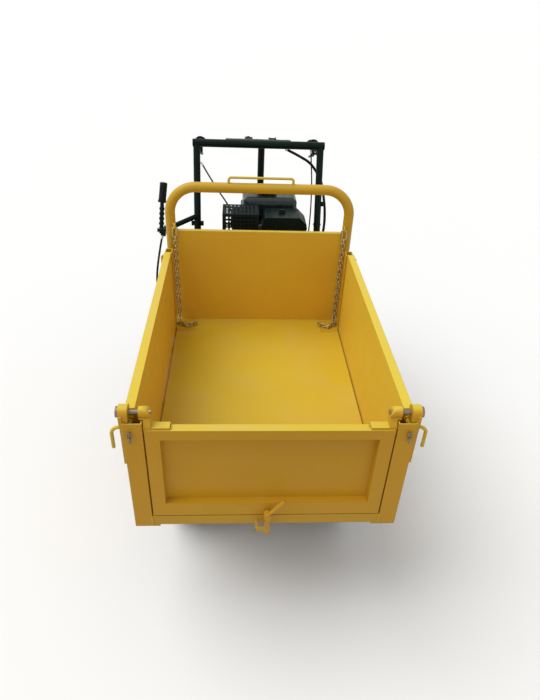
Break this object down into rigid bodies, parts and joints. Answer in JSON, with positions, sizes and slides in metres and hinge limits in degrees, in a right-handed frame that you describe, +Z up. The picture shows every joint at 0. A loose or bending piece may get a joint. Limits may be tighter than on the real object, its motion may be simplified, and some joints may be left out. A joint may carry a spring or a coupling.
{
  "type": "concrete buggy",
  "caption": "Walk-behind buggy with a forward-tipping drop-side load box, hung front gate, drive wheels, rear casters and a belt-driven engine under the handle frame.",
  "frame": {"origin": "on the ground under the centre of the whole machine's box", "axes": "+Y from the front gate towards the operator's grips, +Z up, +X to the operator's left"},
  "size_m": [0.7856, 1.727, 1.0715],
  "materials": {
    "yellow_paint": "worn semi-gloss",
    "black_paint": "satin",
    "zinc": "dull plated",
    "engine_alloy": "cast",
    "black_plastic": "moulded",
    "black_rubber": "matt",
    "tyre_rubber": "matt",
    "exhaust_iron": "heat-dulled"
  },
  "bodies": {
    "frame": {"chassis": "black_paint", "tip_pins": "zinc", "rest_buffers": "black_rubber", "engine_stand": "black_paint", "axle_case": "black_paint", "gearbox": "engine_alloy", "engine_block": "engine_alloy", "fuel_tank": "black_plastic", "muffler": "exhaust_iron", "muffler_guard": "exhaust_iron", "air_cleaner": "black_plastic", "recoil_housing": "black_plastic", "drive_belt": "black_rubber", "belt_guard": "black_paint", "handle_frame": "black_paint", "console": "black_plastic", "grips": "black_rubber", "control_cables": "black_rubber", "dump_cable": "black_rubber", "frame_bolts": "zinc"},
    "skip": {"floor_pan": "yellow_paint", "skip_subframe": "yellow_paint", "corner_posts": "yellow_paint", "headboard": "yellow_paint", "hoop": "yellow_paint", "grab_handle": "yellow_paint", "chain_left": "zinc", "chain_right": "zinc", "gate_pins": "zinc", "side_pins": "zinc"},
    "gate": {"front_gate": "yellow_paint"},
    "gate_turn_latch": {"gate_latch": "yellow_paint"},
    "drop_side_left": {"side_left": "yellow_paint"},
    "drop_side_right": {"side_right": "yellow_paint"},
    "front_bolt_left": {"front_latch_left": "yellow_paint"},
    "front_bolt_right": {"front_latch_right": "yellow_paint"},
    "rear_bolt_left": {"rear_latch_left": "yellow_paint"},
    "rear_bolt_right": {"rear_latch_right": "yellow_paint"},
    "wheel_left": {"hub_left": "zinc", "rim_left": "yellow_paint", "tyre_left": "tyre_rubber"},
    "wheel_right": {"hub_right": "zinc", "rim_right": "yellow_paint", "tyre_right": "tyre_rubber"},
    "swivel_left": {"caster_fork_left": "black_paint"},
    "swivel_right": {"caster_fork_right": "black_paint"},
    "caster_left": {"caster_rim_left": "zinc", "caster_tyre_left": "tyre_rubber"},
    "caster_right": {"caster_rim_right": "zinc", "caster_tyre_right": "tyre_rubber"},
    "upper_pulley": {"engine_pulley": "zinc"},
    "lower_pulley": {"gearbox_pulley": "zinc"},
    "shaft": {"drive_shaft": "black_paint"},
    "cap": {"fuel_cap": "black_plastic"},
    "steer_left": {"steer_lever_left": "black_paint"},
    "steer_right": {"steer_lever_right": "black_paint"},
    "gear": {"gear_lever": "black_plastic"},
    "throttle": {"throttle_lever": "black_plastic"},
    "dump": {"dump_lever": "black_paint"},
    "catch": {"dump_catch": "zinc"}
  },
  "joints": [
    {"name": "skip_tip", "type": "hinge", "parent": "frame", "child": "skip", "pos_m": [0, -0.53, 0.382], "axis": [1, 0, 0], "range_deg": [0, 50]},
    {"name": "gate_swing", "type": "hinge", "parent": "skip", "child": "gate", "pos_m": [0, -0.805, 0.788], "axis": [-1, 0, 0], "range_deg": [0, 60]},
    {"name": "gate_latch_turn", "type": "hinge", "parent": "gate", "child": "gate_turn_latch", "pos_m": [0, -0.845, 0.464], "axis": [0, 1, 0], "range_deg": [0, 20]},
    {"name": "side_left_drop", "type": "hinge", "parent": "skip", "child": "drop_side_left", "pos_m": [0.352, -0.343, 0.436], "axis": [0, 1, 0], "range_deg": [0, 90]},
    {"name": "side_right_drop", "type": "hinge", "parent": "skip", "child": "drop_side_right", "pos_m": [-0.352, -0.343, 0.436], "axis": [0, -1, 0], "range_deg": [0, 90]},
    {"name": "front_bolt_left_slide", "type": "slide", "parent": "skip", "child": "front_bolt_left", "axis": [0, 1, 0], "range_m": [0, 0.022]},
    {"name": "front_bolt_right_slide", "type": "slide", "parent": "skip", "child": "front_bolt_right", "axis": [0, 1, 0], "range_m": [0, 0.022]},
    {"name": "rear_bolt_left_slide", "type": "slide", "parent": "skip", "child": "rear_bolt_left", "axis": [0, -1, 0], "range_m": [0, 0.016]},
    {"name": "rear_bolt_right_slide", "type": "slide", "parent": "skip", "child": "rear_bolt_right", "axis": [0, -1, 0], "range_m": [0, 0.016]},
    {"name": "wheel_left_spin", "type": "hinge", "parent": "frame", "child": "wheel_left", "pos_m": [0.252, -0.38, 0.195], "axis": [1, 0, 0], "continuous": true},
    {"name": "wheel_right_spin", "type": "hinge", "parent": "frame", "child": "wheel_right", "pos_m": [-0.252, -0.38, 0.195], "axis": [1, 0, 0], "continuous": true},
    {"name": "swivel_left_turn", "type": "hinge", "parent": "frame", "child": "swivel_left", "pos_m": [0.235, 0.31, 0.26], "axis": [0, 0, 1], "continuous": true},
    {"name": "swivel_right_turn", "type": "hinge", "parent": "frame", "child": "swivel_right", "pos_m": [-0.235, 0.31, 0.26], "axis": [0, 0, 1], "continuous": true},
    {"name": "caster_left_spin", "type": "hinge", "parent": "swivel_left", "child": "caster_left", "pos_m": [0.235, 0.355, 0.11], "axis": [1, 0, 0], "continuous": true},
    {"name": "caster_right_spin", "type": "hinge", "parent": "swivel_right", "child": "caster_right", "pos_m": [-0.235, 0.355, 0.11], "axis": [1, 0, 0], "continuous": true},
    {"name": "upper_pulley_spin", "type": "hinge", "parent": "frame", "child": "upper_pulley", "pos_m": [-0.111, 0.445, 0.647], "axis": [1, 0, 0], "continuous": true},
    {"name": "lower_pulley_spin", "type": "hinge", "parent": "frame", "child": "lower_pulley", "pos_m": [-0.111, 0.445, 0.435], "axis": [1, 0, 0], "continuous": true},
    {"name": "shaft_spin", "type": "hinge", "parent": "frame", "child": "shaft", "pos_m": [0, -0.03, 0.24], "axis": [0, 1, 0], "continuous": true},
    {"name": "cap_turn", "type": "hinge", "parent": "frame", "child": "cap", "pos_m": [0.038, 0.47, 0.89], "axis": [0, 0, 1], "range_deg": [0, 90]},
    {"name": "steer_left_squeeze", "type": "hinge", "parent": "frame", "child": "steer_left", "pos_m": [0.25, 0.7, 0.98308], "axis": [1, 0, 0], "range_deg": [0, 9], "stiffness_Nm_per_rad": 14},
    {"name": "steer_right_squeeze", "type": "hinge", "parent": "frame", "child": "steer_right", "pos_m": [-0.25, 0.7, 0.98308], "axis": [1, 0, 0], "range_deg": [0, 9], "stiffness_Nm_per_rad": 14},
    {"name": "gear_shift", "type": "hinge", "parent": "frame", "child": "gear", "pos_m": [-0.04, 0.642, 1.046], "axis": [1, 0, 0], "range_deg": [-15, 15]},
    {"name": "throttle_turn", "type": "hinge", "parent": "frame", "child": "throttle", "pos_m": [0.06, 0.642, 1.046], "axis": [1, 0, 0], "range_deg": [-15, 15]},
    {"name": "dump_pull", "type": "hinge", "parent": "frame", "child": "dump", "pos_m": [-0.381, 0.278, 0.785], "axis": [-1, 0, 0], "range_deg": [0, 25]},
    {"name": "catch_turn", "type": "hinge", "parent": "frame", "child": "catch", "pos_m": [0, 0.268, 0.382], "axis": [1, 0, 0], "range_deg": [0, 30]}
  ],
  "couplings": [
    {"joint": "lower_pulley_spin", "follows": "upper_pulley_spin", "ratio": 0.61538},
    {"joint": "catch_turn", "follows": "dump_pull", "ratio": 1.2}
  ]
}
